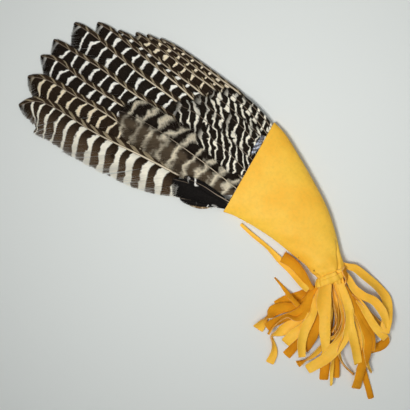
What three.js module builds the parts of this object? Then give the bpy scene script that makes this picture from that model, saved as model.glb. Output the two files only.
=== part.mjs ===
// A turkey wing fan: ten barred primary feathers with their coverts and alula, held by their
// quills in a buckskin sleeve, which is gathered, bound with a thong and finished with a fringe.
// Millimetres, +Z up. The fan lies with its back up on the plane z = 0, with +X towards the tips,
// +Y towards the trailing edge and the origin under the middle of its box.
import * as THREE from "three";

// ---- Driving dimensions ------------------------------------------------------------------
const FAN_LENGTH = 570; // from the end of the fringe to the furthest feather tip
const LENGTH_SQUARES = 483; // the same length, in squares of the layout sheet
const SQUARE = FAN_LENGTH / LENGTH_SQUARES;
const CENTRE = [229.9, 204]; // the point of the layout sheet over the origin
const VANE = 0.5; // thickness of a vane, as a solid
const CLEARANCE = 0.35; // between pieces that touch
const LEATHER = 1.5; // thickness of the buckskin
const TURN = Math.SQRT1_2; // the fan lies at 45 degrees on the layout sheet

// Layout points are [right, down] in squares of the sheet, seen from above.
const at = ([right, down]) => {
  const x = right - CENTRE[0];
  const y = down - CENTRE[1];
  return new THREE.Vector2(-(x + y) * TURN * SQUARE, (y - x) * TURN * SQUARE);
};
const mix = (a, b, t) => a + (b - a) * t;
const mixPoints = (p, q, t) => [mix(p[0], q[0], t), mix(p[1], q[1], t)];
const clamp = (t) => Math.min(1, Math.max(0, t));
const smooth = (t) => clamp(t) ** 2 * (3 - 2 * clamp(t));

// A flat curve through layout points, read by its share of length.
class Route {
  constructor(points) {
    const flat = points.map(at).map((p) => new THREE.Vector3(p.x, p.y, 0));
    this.curve = new THREE.CatmullRomCurve3(flat, false, "centripetal");
    this.length = this.curve.getLength();
  }
  point(share) {
    return this.curve.getPointAt(clamp(share));
  }
  along(share) {
    return this.curve.getTangentAt(clamp(share));
  }
  distanceTo(p, samples = 60) {
    const gaps = Array.from({ length: samples }, (_, i) =>
      this.point(i / (samples - 1)).distanceTo(p),
    );
    return Math.min(...gaps);
  }
}

// A closed solid through rings of equal numbers of points, with a fan over each end.
function loft(rings) {
  const n = rings[0].length;
  const middle = (ring) =>
    ring.reduce((sum, p) => sum.add(p), new THREE.Vector3()).divideScalar(n);
  const points = [...rings.flat(), middle(rings[0]), middle(rings.at(-1))];
  const faces = [];
  for (let r = 0; r < rings.length - 1; r++) {
    for (let i = 0; i < n; i++) {
      const [a, b] = [r * n + i, r * n + ((i + 1) % n)];
      faces.push(a, b, b + n, a, b + n, a + n);
    }
  }
  const last = (rings.length - 1) * n;
  for (let i = 0; i < n; i++) {
    faces.push(points.length - 2, (i + 1) % n, i);
    faces.push(points.length - 1, last + i, last + ((i + 1) % n));
  }
  const geometry = new THREE.BufferGeometry().setFromPoints(points);
  geometry.setIndex(volume(points, faces) < 0 ? faces.reverse() : faces);
  geometry.computeVertexNormals();
  return geometry;
}

function volume(points, faces) {
  let sum = 0;
  const cross = new THREE.Vector3();
  for (let i = 0; i < faces.length; i += 3) {
    const [a, b, c] = faces.slice(i, i + 3).map((k) => points[k]);
    sum += a.dot(cross.crossVectors(b, c));
  }
  return sum / 6;
}

const fan = new THREE.Group();
function add(name, geometry, material) {
  const mesh = new THREE.Mesh(geometry, material);
  mesh.name = name;
  fan.add(mesh);
}

const finish = (color, roughness) =>
  new THREE.MeshStandardMaterial({ color, roughness, metalness: 0 });
const BARRED_BLACK = finish(0x2b2620, 0.6);
const BARRED_BROWN = finish(0x6a5d4c, 0.65);
const GLOSSY_BLACK = finish(0x1b1a18, 0.45);
const BUCKSKIN = finish(0xf2b93e, 0.8);
const SUEDE = finish(0xd98f1c, 0.95);

// ---- Feathers ----------------------------------------------------------------------------
const LOWEST = VANE / 2 + 0.05; // of the middle of a vane, over the ground
const BARE = 0.15; // what is left of a vane on the bare quill
const FIRST_RING = 0.004; // share of the length at which a feather's outline begins
const CROWDING = 1.35; // of the rings towards the tip, where the outline is roundest
const SHAFT_TOP = 0.5; // half the width of the shaft's flattened top, in radii
const SHAFT_TIP = 0.3; // of its full radius, at the tip
const SHAFT_FULL_AT = 0.625; // share of the length from which it has its full radius

// A feather is one solid: a round shaft with a thin vane on each side. `height(p, t, share)`
// places it: p is a point in plan and t its distance from the shaft, positive on the trailing
// side. `leading` and `trailing` give the widths of the two vanes at a share and a point.
function feather({ route, height, shaft, leading, trailing, stations }) {
  const rings = [];
  for (let k = 0; k <= stations; k++) {
    const share = clamp(FIRST_RING + (k / stations) ** CROWDING);
    const [p, way] = [route.point(share), route.along(share)];
    const across = new THREE.Vector3(way.y, -way.x, 0);
    const r = shaftRadius(shaft, share);
    const lead = leading(share, p) + r;
    const trail = trailing(share, p) + r;
    const vaneAt = (t, side) => {
      const spot = p.clone().addScaledVector(across, t);
      return spot.setZ(Math.max(height(spot, t, share), LOWEST) + (side * VANE) / 2);
    };
    const shaftAt = (t, side) => {
      const spot = p.clone().addScaledVector(across, t * r);
      return spot.setZ(Math.max(height(p, 0, share), LOWEST) + side * r);
    };
    const shaftTop = [shaftAt(-SHAFT_TOP, 1), shaftAt(SHAFT_TOP, 1)];
    const top = [vaneAt(-lead, 1), vaneAt(-r, 1), ...shaftTop, vaneAt(r, 1), vaneAt(trail, 1)];
    const low = [vaneAt(trail, -1), vaneAt(r, -1), shaftAt(0, -1), vaneAt(-r, -1), vaneAt(-lead, -1)];
    rings.push([...top, ...low].map((spot) => spot.setZ(Math.max(spot.z, 0))));
  }
  return loft(rings);
}
const shaftRadius = (shaft, share) => shaft * mix(SHAFT_TIP, 1, Math.min(1, share / SHAFT_FULL_AT));

// A vane's width: it opens from the tip over `tipRun` mm, begins to close at the share `shut`
// of the length, and is gone at the share `bare`.
const vaneWidth = (route, width, tipRun, shut, bare) => (share) => {
  const open = Math.sqrt(1 - (1 - clamp((share * route.length) / tipRun)) ** 2);
  return Math.max(BARE, width * open * (1 - smooth((share - shut) / (bare - shut))));
};

// The mouth of the sleeve, and where the quills end inside it, from leading to trailing edge.
const MOUTH = [
  [269, 131],
  [229, 202],
];
const QUILL_ENDS = [
  [283, 152],
  [258, 214],
];

// Each primary from its tip to where the coverts hide it, with the width of its trailing
// vane, the length of the tip over which the vanes open, and the width of its leading vane.
const PRIMARIES = [
  { seen: [[160, 38], [182, 51], [202, 65], [222, 80], [242, 96]], trail: 9, tip: 34, lead: 3 },
  { seen: [[147, 34], [166, 46], [190, 63], [212, 80], [232, 96]], trail: 14, tip: 34, lead: 3 },
  { seen: [[136, 32], [154, 45], [174, 59], [195, 75], [216, 91]], trail: 22, tip: 30, lead: 4 },
  {
    seen: [[118, 30], [132, 39], [146, 50], [162, 63], [182, 78], [203, 95]],
    trail: 28, tip: 28, lead: 5,
  },
  { seen: [[97, 22], [113, 32], [130, 46], [150, 62], [190, 96]], trail: 33, tip: 24, lead: 6 },
  { seen: [[74, 22], [92, 34], [112, 51], [140, 74], [182, 106]], trail: 35, tip: 24, lead: 7 },
  { seen: [[53, 39], [75, 53], [100, 68], [130, 91], [172, 119]], trail: 35, tip: 26, lead: 7 },
  { seen: [[40, 55], [58, 61], [78, 77], [100, 92], [140, 117]], trail: 35, tip: 28, lead: 7 },
  { seen: [[27, 76], [45, 79], [77, 97], [103, 112], [140, 137]], trail: 36, tip: 30, lead: 8 },
  {
    seen: [[18, 105], [36, 101], [55, 108], [92, 131], [150, 160], [190, 181]],
    trail: 38, tip: 34, lead: 9,
  },
];
const PRIMARY_SHAFT = 1.7; // radius at the quill
const TIP_HEIGHT = 3.2; // of the shafts
const ARCH_HEIGHT = 6;
const MOUTH_HEIGHT = 7.2;
const TIP_X = 287; // where the shafts have those three heights
const ARCH_X = 187;
const MOUTH_X = 17;
const LEAD_TIP = 0.7; // a leading vane opens over this share of the trailing vane's tip
const LEAD_CLOSES = [0.55, 0.8]; // shares of the length from where to where a vane closes
const TRAIL_SHUT = 0.5;
const TRAIL_BARE = 0.8;
const LAST_TRAIL_BARE = 0.98; // nothing covers the last primary's vane
const OPEN_SIDE = 60; // the gap beside the first and the last feather
const LEAST_GAP = 5;
const LEAD_OVER_GAP = 0.5; // the widest that a vane may be, in gaps to its neighbour
const TRAIL_OVER_GAP = 1.5;
const primaryHeight = (x) =>
  x > ARCH_X
    ? mix(ARCH_HEIGHT, TIP_HEIGHT, smooth((x - ARCH_X) / (TIP_X - ARCH_X)))
    : mix(MOUTH_HEIGHT, ARCH_HEIGHT, smooth((x - MOUTH_X) / (ARCH_X - MOUTH_X)));

const primaryRoutes = PRIMARIES.map(({ seen }, i) => {
  const across = i / (PRIMARIES.length - 1);
  return new Route([...seen, mixPoints(...MOUTH, across), mixPoints(...QUILL_ENDS, across)]);
});

// Each trailing vane sinks away from its shaft, just enough to pass under the next one.
PRIMARIES.forEach(({ trail, tip, lead }, i) => {
  const route = primaryRoutes[i];
  const gapTo = (other, p) => (other ? other.distanceTo(p) : OPEN_SIDE);
  const [before, next] = [primaryRoutes[i - 1], primaryRoutes[i + 1]];
  const leading = vaneWidth(route, lead, tip * LEAD_TIP, ...LEAD_CLOSES);
  const trailing = vaneWidth(route, trail, tip, TRAIL_SHUT, next ? TRAIL_BARE : LAST_TRAIL_BARE);
  add(
    `primary_${String(i + 1).padStart(2, "0")}`,
    feather({
      route,
      height: (spot, t, share) => {
        const under = 2 * shaftRadius(PRIMARY_SHAFT, share) + VANE / 2 + CLEARANCE;
        const gap = Math.max(gapTo(next, route.point(share)), LEAST_GAP);
        return primaryHeight(spot.x) - (t * under) / gap;
      },
      shaft: PRIMARY_SHAFT,
      leading: (share, p) => Math.min(leading(share), LEAD_OVER_GAP * gapTo(before, p)),
      trailing: (share, p) => Math.min(trailing(share), TRAIL_OVER_GAP * gapTo(next, p)),
      stations: 13,
    }),
    BARRED_BLACK,
  );
});

// The feathers that lie over the roots of the primaries, in tiers from the lowest to the top
// one. `lead` and `trail` are the widths of the two vanes, and `root` is the height of the quill.
const COVERT_CLOSES = [0.7, 1.15];
const GREATER_COVERTS = [
  { seen: [[240, 95], [253, 107], [264, 119], [275, 133]], lead: 3, trail: 8, root: 11.6 },
  { seen: [[223, 89], [238, 101], [252, 115], [271, 140]], lead: 6, trail: 13, root: 12.2 },
  { seen: [[209, 91], [225, 104], [240, 117], [266, 149]], lead: 8, trail: 15, root: 12.6 },
  { seen: [[195, 96], [211, 109], [226, 122], [260, 159]], lead: 9, trail: 17, root: 12.8 },
  { seen: [[175, 104], [193, 112], [212, 127], [252, 172]], lead: 11, trail: 23, root: 13 },
  {
    seen: [[120, 111], [140, 120], [159, 131], [200, 160], [243, 194]],
    lead: 22, trail: 30, root: 13.2,
  },
];
const GREATER_TIP = 12; // height of the tips
const GREATER_RISE = 1.4; // how much sooner than its end a feather reaches the quill's height
const GREATER_OPENS = 26; // mm from the tip
const GREATER_SHAFT = 0.8;
const GREATER_LEAST_GAP = 8;
const GREATER_OPEN_SIDE = 30;
const GREATER_OVER_GAP = 1.6;
const UNDER_NEXT_COVERT = 2 * GREATER_SHAFT + VANE / 2 + CLEARANCE;

const covertRoutes = GREATER_COVERTS.map(({ seen }) => new Route(seen));
GREATER_COVERTS.forEach(({ lead, trail, root }, i) => {
  const [route, next] = [covertRoutes[i], covertRoutes[i + 1]];
  const gap = (p) => (next ? Math.max(next.distanceTo(p), GREATER_LEAST_GAP) : GREATER_OPEN_SIDE);
  const trailing = vaneWidth(route, trail, GREATER_OPENS, ...COVERT_CLOSES);
  add(
    `greater_covert_${i + 1}`,
    feather({
      route,
      height: (spot, t, share) => {
        const sink = (t * UNDER_NEXT_COVERT) / gap(route.point(share));
        return mix(GREATER_TIP, root, smooth(share * GREATER_RISE)) - sink;
      },
      shaft: GREATER_SHAFT,
      leading: vaneWidth(route, lead, GREATER_OPENS, ...COVERT_CLOSES),
      trailing: (share, p) => Math.min(trailing(share), GREATER_OVER_GAP * gap(p)),
      stations: 8,
    }),
    i === GREATER_COVERTS.length - 1 ? BARRED_BROWN : BARRED_BLACK,
  );
});

const MEDIAN_COVERTS = [
  { seen: [[242, 119], [255, 131], [270, 148]], lead: 4, trail: 9 },
  { seen: [[226, 114], [243, 129], [265, 153]], lead: 7, trail: 12 },
  { seen: [[218, 130], [236, 145], [258, 166]], lead: 9, trail: 14 },
  { seen: [[198, 129], [222, 147], [250, 176]], lead: 12, trail: 17 },
];
const MEDIAN_SHAFT = 0.6;
const MEDIAN_HEIGHT = 16.4; // of the first quill, over the greater coverts
const MEDIAN_STEP = 0.5; // from one quill up to the next, and from a tip up to its quill
const MEDIAN_OPENS = 16; // mm from the tip
const TOP_SLOPE = 0.06; // of the vanes of the top feathers, down towards the trailing side
MEDIAN_COVERTS.forEach(({ seen, lead, trail }, i) => {
  const route = new Route(seen);
  add(
    `median_covert_${i + 1}`,
    feather({
      route,
      height: (spot, t, share) => MEDIAN_HEIGHT + MEDIAN_STEP * (i + share - 1) - TOP_SLOPE * t,
      shaft: MEDIAN_SHAFT,
      leading: vaneWidth(route, lead, MEDIAN_OPENS, ...COVERT_CLOSES),
      trailing: vaneWidth(route, trail, MEDIAN_OPENS, ...COVERT_CLOSES),
      stations: 6,
    }),
    BARRED_BLACK,
  );
});

// The thumb's feathers, at the trailing corner of the mouth. `high` is a quill's height.
const ALULA = [
  { seen: [[180, 198], [196, 201], [212, 203], [238, 211]], lead: 5, trail: 6, high: 10.2, tip: 12 },
  { seen: [[173, 179], [194, 185], [212, 194], [239, 210]], lead: 3, trail: 19, high: 13.2, tip: 6 },
  { seen: [[184, 177], [203, 186], [217, 195], [242, 209]], lead: 4, trail: 5, high: 15, tip: 14 },
];
const ALULA_SHAFT = 0.7;
const ALULA_DROOP = 0.6; // of the tip, below the quill
const ALULA_LEAD_CLOSES = [0.5, 1.1];
const ALULA_TRAIL_CLOSES = [0.3, 1.1];
ALULA.forEach(({ seen, lead, trail, high, tip }, i) => {
  const route = new Route(seen);
  add(
    `alula_${i + 1}`,
    feather({
      route,
      height: (spot, t, share) => high - ALULA_DROOP * (1 - share) - TOP_SLOPE * t,
      shaft: ALULA_SHAFT,
      leading: vaneWidth(route, lead, tip, ...ALULA_LEAD_CLOSES),
      trailing: vaneWidth(route, trail, tip, ...ALULA_TRAIL_CLOSES),
      stations: 6,
    }),
    GLOSSY_BLACK,
  );
});

// ---- Sleeve ------------------------------------------------------------------------------
// One buckskin folded round the quills and laced along its trailing edge: a flattened tube,
// open at the mouth, flat underneath, gathered to a neck where the fringe begins.
const SLEEVE_LEADING = [
  [274, 122], [285, 134], [297, 153], [308, 172], [318, 190], [327, 208],
  [333, 225], [338, 243], [341, 260], [342, 272], [343, 283],
];
const SLEEVE_TRAILING = [
  [223, 212], [232, 215], [244, 221], [256, 228], [270, 237], [283, 247],
  [294, 256], [304, 264], [312, 271], [316, 277], [317, 283],
];
const SLEEVE_RISE = 11.2; // half the thickness of the sleeve at its ends
const SLEEVE_PUFF = 0.16; // how much more it rises between them
const SLEEVE_FLAT = 1.4; // how much of the round underside is pressed flat
const NECK_LIFT = 2.9; // of the neck, for the binding under it
const NECK_FROM = 0.78;
const CAVITY_DEPTH = 0.72; // how far the hollow for the quills goes, as a share of the length
const SLEEVE_SIDES = 20;
const SLEEVE_SQUARENESS = 2.5; // of the section: 2 is an ellipse

const leadingEdge = new Route(SLEEVE_LEADING);
const trailingEdge = new Route(SLEEVE_TRAILING);

function sleeveRing(share, wall) {
  const [a, b] = [trailingEdge.point(share), leadingEdge.point(share)];
  const [half, middle] = [a.distanceTo(b) / 2 - wall, a.clone().lerp(b, 0.5)];
  const across = b.clone().sub(a).normalize();
  const puff = 1 + SLEEVE_PUFF * Math.sin(Math.PI * clamp(share / NECK_FROM));
  const rise = SLEEVE_RISE * puff - wall;
  const floor = NECK_LIFT * smooth((share - NECK_FROM) / (1 - NECK_FROM)) + wall;
  const centre = rise + floor - SLEEVE_FLAT;
  return Array.from({ length: SLEEVE_SIDES }, (_, i) => {
    const turn = (2 * Math.PI * i) / SLEEVE_SIDES;
    const power = (v) => Math.sign(v) * Math.abs(v) ** (2 / SLEEVE_SQUARENESS);
    const [u, v] = [power(Math.cos(turn)) * half, power(Math.sin(turn)) * rise];
    return middle.clone().addScaledVector(across, u).setZ(Math.max(floor, centre + v));
  });
}

// Shares of the length of the rings, from the neck to the mouth and back inside.
const outside = [1, 0.94, 0.87, 0.8, 0.7, 0.56, 0.42, 0.28, 0.14, 0];
const inside = [0, 0.14, 0.28, 0.42, 0.56, CAVITY_DEPTH];
add(
  "buckskin_sleeve",
  loft([...outside.map((s) => sleeveRing(s, 0)), ...inside.map((s) => sleeveRing(s, LEATHER))]),
  BUCKSKIN,
);

// The binding: a thong wound twice round the neck, as one flat band.
const BINDING_FROM = 0.935; // shares of the sleeve's length
const BINDING_TO = 0.99;
const BINDING_THICK = 1.7;

// The sleeve's outline at a share of its length, moved outwards by some mm.
function ringAround(share, out) {
  const ring = sleeveRing(share, 0);
  const middle = ring.reduce((sum, p) => sum.add(p), new THREE.Vector3()).divideScalar(ring.length);
  return ring.map((p) => p.clone().addScaledVector(p.clone().sub(middle).normalize(), out));
}

// A closed band between four outlines: inner and outer, at one edge and then at the other.
function band(outlines) {
  const points = outlines.flat();
  const [around, n] = [outlines.length, outlines[0].length];
  const faces = [];
  for (let k = 0; k < around; k++) {
    const [here, there] = [k * n, ((k + 1) % around) * n];
    for (let i = 0; i < n; i++) {
      const j = (i + 1) % n;
      faces.push(here + i, here + j, there + j, here + i, there + j, there + i);
    }
  }
  const geometry = new THREE.BufferGeometry().setFromPoints(points);
  geometry.setIndex(volume(points, faces) < 0 ? faces.reverse() : faces);
  return geometry;
}
add(
  "binding_thong",
  band([
    ringAround(BINDING_FROM, CLEARANCE),
    ringAround(BINDING_FROM, CLEARANCE + BINDING_THICK),
    ringAround(BINDING_TO, CLEARANCE + BINDING_THICK),
    ringAround(BINDING_TO, CLEARANCE),
  ]),
  BUCKSKIN,
);

// ---- Fringe and laces --------------------------------------------------------------------
// Strips of hide are laid one after another, lowest first, and each rests on the ones before
// it. `way` is a strip's middle line with its width in squares, and `lift` is the height at
// which it leaves the neck. A map of cells keeps how high the heap has grown.
const FRINGE_THICK = 1.2;
const FRINGE_GAP = 0.2; // left between strips that lie on each other
const LIFT_RUN = 48; // a strip comes down from the neck over this length
const CELL = 1.5; // of the height map on which the strips are laid
const MAP_HALF = 320; // of the map's side, from the origin
const MAP_SIDE = Math.ceil((2 * MAP_HALF) / CELL);
const tops = new Float32Array(MAP_SIDE * MAP_SIDE);
const FRINGE_STEPS = 9; // rings of a strip, less one
const FINER = 4; // spots tried for height between two rings of a strip
const SMOOTHING = 30; // passes that round off the strip's climb over the ones below
const SOLE = 0.02; // lowest underside of a strip over the ground
const LENGTH_SAMPLES = 200; // of a route, to find which of its points a share falls between

// Calls `visit` with each cell of the map within reach of a point.
function eachCell(p, reach, visit) {
  const [cx, cy] = [(p.x + MAP_HALF) / CELL, (p.y + MAP_HALF) / CELL];
  const n = Math.ceil(reach / CELL);
  for (let i = Math.floor(cx) - n; i <= cx + n; i++) {
    for (let j = Math.floor(cy) - n; j <= cy + n; j++) {
      const away = Math.hypot((i + 0.5 - cx) * CELL, (j + 0.5 - cy) * CELL);
      if (away <= reach) visit(j * MAP_SIDE + i);
    }
  }
}

function strip({ way, lift, steps }) {
  const route = new Route(way);
  const fine = steps * FINER;
  const spots = Array.from({ length: fine + 1 }, (_, k) => {
    const share = k / fine;
    const width = widthAt(route, way, share);
    const p = route.point(share);
    let under = 0;
    eachCell(p, width / 2 + CELL, (cell) => (under = Math.max(under, tops[cell])));
    const held = lift * (1 - smooth((share * route.length) / LIFT_RUN));
    return { share, p, width, need: Math.max(under, held) + FRINGE_THICK / 2 };
  });
  let heights = spots.map((s) => s.need);
  for (let pass = 0; pass < SMOOTHING; pass++) {
    heights = heights.map((z, k) => {
      const [before, after] = [heights[Math.max(0, k - 1)], heights[Math.min(fine, k + 1)]];
      return Math.max(spots[k].need, (before + after + z) / 3);
    });
  }
  spots.forEach((s, k) => (s.z = heights[k] + FRINGE_GAP / 2));
  for (const s of spots) {
    const top = s.z + FRINGE_THICK / 2 + FRINGE_GAP;
    eachCell(s.p, s.width / 2 + CELL, (cell) => (tops[cell] = Math.max(tops[cell], top)));
  }
  return loft(spots.filter((_, k) => k % FINER === 0).map((s) => stripRing(route, s)));
}

// The width in mm at a share of the route's length, between the widths given with its points.
function widthAt(route, way, share) {
  const lengths = route.curve.getLengths(LENGTH_SAMPLES);
  const reached = share * lengths[LENGTH_SAMPLES];
  const next = lengths.findIndex((length) => length >= reached);
  const part = (Math.max(0, next) / LENGTH_SAMPLES) * (way.length - 1);
  const i = Math.min(way.length - 2, Math.floor(part));
  return mix(way[i][2], way[i + 1][2], part - i) * SQUARE;
}

function stripRing(route, { share, p, width, z }) {
  const heading = route.along(share);
  const side = new THREE.Vector3(heading.y, -heading.x, 0);
  const corner = (s, t) => {
    const up = Math.max(SOLE, z + (t * FRINGE_THICK) / 2);
    return p.clone().addScaledVector(side, (s * width) / 2).setZ(up);
  };
  return [corner(-1, -1), corner(1, -1), corner(1, 1), corner(-1, 1)];
}

// `flesh` marks a strip that lies with its rough side up.
const FRINGE = [
  { lift: 1, flesh: true, way: [
    [321, 288, 8], [310, 291, 9], [298, 297, 10], [286, 301, 9], [276, 306, 8],
  ] },
  { lift: 1, flesh: true, way: [
    [323, 288, 7], [312, 296, 8], [298, 306, 9], [284, 307, 10], [272, 311, 11], [264, 319, 10],
    [257, 329, 12],
  ] },
  { lift: 1, flesh: true, way: [
    [322, 285, 6], [314, 305, 8], [305, 330, 8], [296, 345, 8], [286, 356, 9],
  ] },
  { lift: 1, flesh: true, way: [
    [331, 285, 6], [332, 310, 7], [328, 340, 8], [326, 362, 9], [325, 381, 9],
  ] },
  { lift: 2, flesh: true, way: [
    [334, 285, 6], [338, 310, 7], [338, 340, 8], [336, 360, 8], [335, 378, 8],
  ] },
  { lift: 2, flesh: true, way: [
    [338, 285, 6], [346, 312, 7], [354, 340, 7], [361, 364, 7], [367, 383, 6], [372, 400, 6],
  ] },
  { lift: 2, way: [
    [341, 285, 6], [352, 300, 7], [366, 312, 8], [378, 325, 9], [386, 337, 8], [382, 347, 9],
    [371, 350, 9],
  ] },
  { lift: 3, way: [
    [320, 285, 6], [308, 312, 8], [294, 324, 11], [280, 331, 11], [271, 336, 5], [273, 344, 5],
    [274, 353, 7], [270, 364, 8],
  ] },
  { lift: 3, way: [[322, 286, 6], [312, 312, 8], [303, 325, 9], [293, 334, 10], [285, 343, 9]] },
  { lift: 4, flesh: true, way: [
    [319, 286, 6], [309, 300, 8], [298, 312, 8], [284, 318, 8], [272, 323, 8], [266, 327, 8],
  ] },
  { lift: 4, way: [[333, 286, 5], [336, 315, 5], [334, 340, 6], [331, 362, 5], [331, 386, 2]] },
  { lift: 5, flesh: true, way: [
    [325, 285, 6], [321, 305, 7], [316, 322, 9], [311, 336, 10], [305, 352, 8],
  ] },
  { lift: 5, way: [
    [328, 286, 6], [328, 315, 6], [325, 338, 7], [316, 350, 7], [306, 358, 7], [297, 364, 8],
  ] },
  { lift: 6, way: [[342, 286, 6], [350, 305, 7], [357, 322, 7], [360, 338, 7], [360, 354, 7]] },
  { lift: 6, way: [
    [343, 286, 5], [354, 308, 6], [362, 330, 6], [364, 352, 6], [366, 364, 5], [371, 373, 4],
  ] },
  { lift: 7, way: [[331, 287, 5], [334, 305, 5], [335, 320, 5], [330, 331, 5]] },
  { lift: 7, way: [[334, 286, 5], [338, 303, 5], [339, 320, 5], [334, 333, 5], [327, 338, 5]] },
  { lift: 8, way: [
    [336, 286, 6], [341, 303, 7], [342, 320, 7], [338, 334, 8], [330, 347, 8], [322, 356, 6],
  ] },
  { lift: 8, way: [
    [340, 286, 6], [347, 305, 7], [349, 322, 8], [352, 340, 9], [355, 355, 9], [357, 364, 7],
  ] },
  { lift: 9, way: [[344, 286, 5], [353, 296, 6], [362, 305, 7], [369, 316, 7], [373, 326, 6]] },
  { lift: 9, way: [[344, 287, 5], [357, 300, 6], [367, 315, 7], [376, 328, 8], [385, 338, 7]] },
  { lift: 10, flesh: true, way: [
    [343, 285, 6], [351, 299, 8], [358, 311, 8], [365, 324, 8], [370, 336, 7], [370, 350, 6],
  ] },
  { lift: 11, flesh: true, way: [
    [318, 286, 5], [310, 293, 8], [306, 303, 9], [303, 313, 8], [295, 317, 6], [287, 314, 6],
    [279, 318, 6], [272, 325, 6], [267, 333, 5],
  ] },
  { lift: 11, way: [
    [321, 286, 6], [315, 303, 8], [310, 316, 9], [303, 330, 9], [300, 343, 9], [301, 356, 7],
  ] },
  { lift: 12, way: [
    [339, 287, 5], [343, 310, 5], [342, 335, 5], [337, 350, 5], [341, 362, 5], [354, 376, 5],
  ] },
  { lift: 13, flesh: true, way: [
    [343, 286, 6], [352, 303, 7], [360, 320, 8], [366, 338, 9], [364, 354, 9], [360, 370, 9],
    [357, 390, 9],
  ] },
  { lift: 14, way: [
    [341, 285, 7], [346, 300, 8], [348, 315, 9], [345, 331, 9], [338, 343, 10], [326, 356, 10],
    [306, 368, 9],
  ] },
  { lift: 16, way: [
    [324, 284, 13], [322, 300, 16], [324, 315, 10], [324, 330, 11], [324, 343, 8], [322, 356, 2],
  ] },
];
FRINGE.forEach(({ lift, way, flesh }, i) => {
  const name = `fringe_${String(i + 1).padStart(2, "0")}`;
  add(name, strip({ way, lift, steps: FRINGE_STEPS }), flesh ? SUEDE : BUCKSKIN);
});

// The long ends of the thongs that lace the sleeve's edge and bind its neck, and a turned-back
// corner of the hide beside them.
const LACES = [
  { name: "side_lace", lift: 0, steps: 14, material: BUCKSKIN, way: [
    [241, 224, 3.5], [254, 236, 4], [268, 248, 4], [280, 260, 6], [292, 271, 7], [303, 286, 6],
    [307, 290, 5],
  ] },
  { name: "suede_tab", lift: 0, steps: 8, material: SUEDE, way: [
    [283, 256, 13], [292, 262, 11], [300, 272, 9], [307, 283, 6], [311, 289, 5],
  ] },
  { name: "pointed_lace", lift: 0, steps: 6, material: SUEDE, way: [
    [275, 278, 1.5], [282, 286, 3], [290, 296, 5], [298, 305, 5],
  ] },
  { name: "outer_lace", lift: 10, steps: 14, material: BUCKSKIN, way: [
    [347, 266, 6], [354, 268, 8], [366, 278, 9], [378, 289, 10], [386, 300, 10], [386, 316, 10],
    [383, 332, 9],
  ] },
  { name: "inner_lace", lift: 12, steps: 12, material: BUCKSKIN, way: [
    [347, 278, 7], [353, 288, 8], [363, 295, 8], [373, 300, 8], [381, 311, 8], [386, 327, 6],
  ] },
];
for (const { name, material, ...one } of LACES) add(name, strip(one), material);

// The origin is under the middle of the whole fan.
const middle = new THREE.Box3().setFromObject(fan).getCenter(new THREE.Vector3());
fan.position.set(-middle.x, -middle.y, 0);

export default fan;
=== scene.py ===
import math
from functools import partialmethod

import bpy
import numpy as np
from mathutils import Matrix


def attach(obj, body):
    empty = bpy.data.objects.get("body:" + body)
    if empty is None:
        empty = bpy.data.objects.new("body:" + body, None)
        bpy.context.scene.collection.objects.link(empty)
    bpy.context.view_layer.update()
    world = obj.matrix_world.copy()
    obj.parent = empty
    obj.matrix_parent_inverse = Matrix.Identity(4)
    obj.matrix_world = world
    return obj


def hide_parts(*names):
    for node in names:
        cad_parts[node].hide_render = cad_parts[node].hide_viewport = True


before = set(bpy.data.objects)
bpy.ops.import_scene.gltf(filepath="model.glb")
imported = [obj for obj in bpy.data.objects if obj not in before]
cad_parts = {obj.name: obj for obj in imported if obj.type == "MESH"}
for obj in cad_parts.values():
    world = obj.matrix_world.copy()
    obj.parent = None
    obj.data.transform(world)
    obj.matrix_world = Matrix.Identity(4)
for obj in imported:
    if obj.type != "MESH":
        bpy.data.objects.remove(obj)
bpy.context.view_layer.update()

# ---- The plan ----
# The fan lies flat with its back up, so each piece starts from a route in plan. Routes are in
# squares of a layout sheet, right and down, on which the fan lies at 45 degrees.
MM = 0.001
FAN_LENGTH = 570 * MM
SQUARE = FAN_LENGTH / 483
ORIGIN = (229.9, 204.0)  # the point of the sheet over the origin
ROUTE_STEPS = 60  # from each point of a route to the next
FAR = 60 * MM  # taken as the distance to a neighbour that isn't there


def at(spots):
    """The X and Y, in metres, of points of the layout sheet."""
    right, down = np.moveaxis(np.asarray(spots, float)[..., :2] - ORIGIN, -1, 0)
    return np.stack([-(right + down), down - right], -1) * (math.sqrt(0.5) * SQUARE)


def ease(t):
    t = np.clip(t, 0, 1)
    return t * t * (3 - 2 * t)


def mix(a, b, t):
    return a + (b - a) * t


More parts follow.
